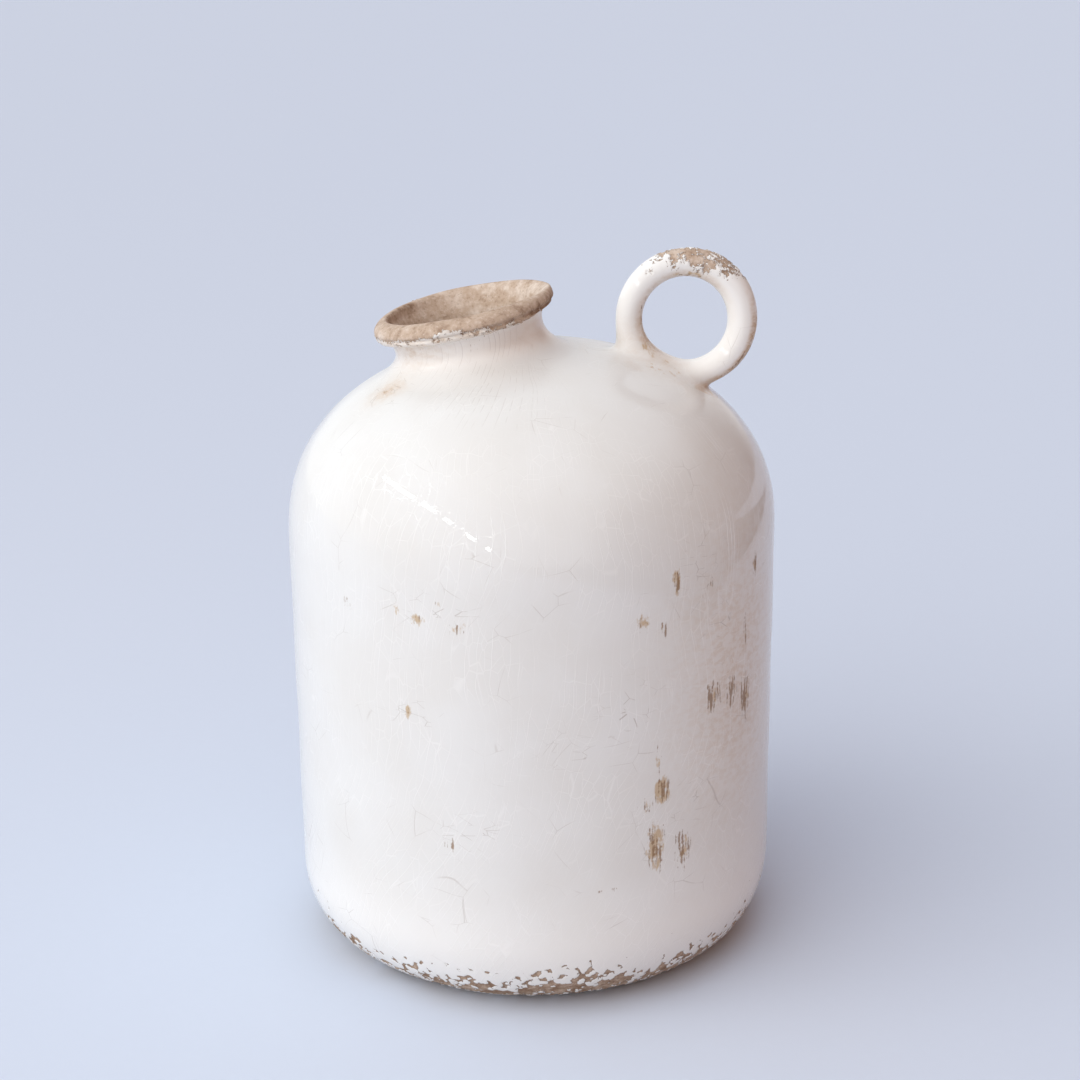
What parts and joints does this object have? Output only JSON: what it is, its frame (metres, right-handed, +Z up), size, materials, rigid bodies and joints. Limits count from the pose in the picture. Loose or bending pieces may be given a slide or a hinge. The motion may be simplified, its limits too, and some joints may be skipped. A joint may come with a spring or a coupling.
{
  "type": "handled vase",
  "caption": "Squat round glazed stoneware vase with a domed shoulder, a short leaning neck with a thick bare lip, and an upright finger ring. Holds cut stems and water.",
  "frame": {"origin": "on the table under the middle of the body, on the body's turning axis", "axes": "+Z up along the turning axis; +X towards the finger ring, away from the leaning neck; +Y to the back of the pictured view"},
  "size_m": [0.16, 0.16, 0.2309],
  "materials": {
    "glaze": "glossy warm white crackle glaze, worn through to clay in places",
    "bare_clay": "bare fired clay, matt, beige and brown mottled"
  },
  "bodies": {
    "root": {"body_wall": "glaze", "floor_disc": "bare_clay", "neck_collar": "glaze", "neck_coil": "glaze", "rim_roll": "bare_clay", "handle_ring": "glaze", "handle_saddle": "glaze"}
  },
  "joints": []
}
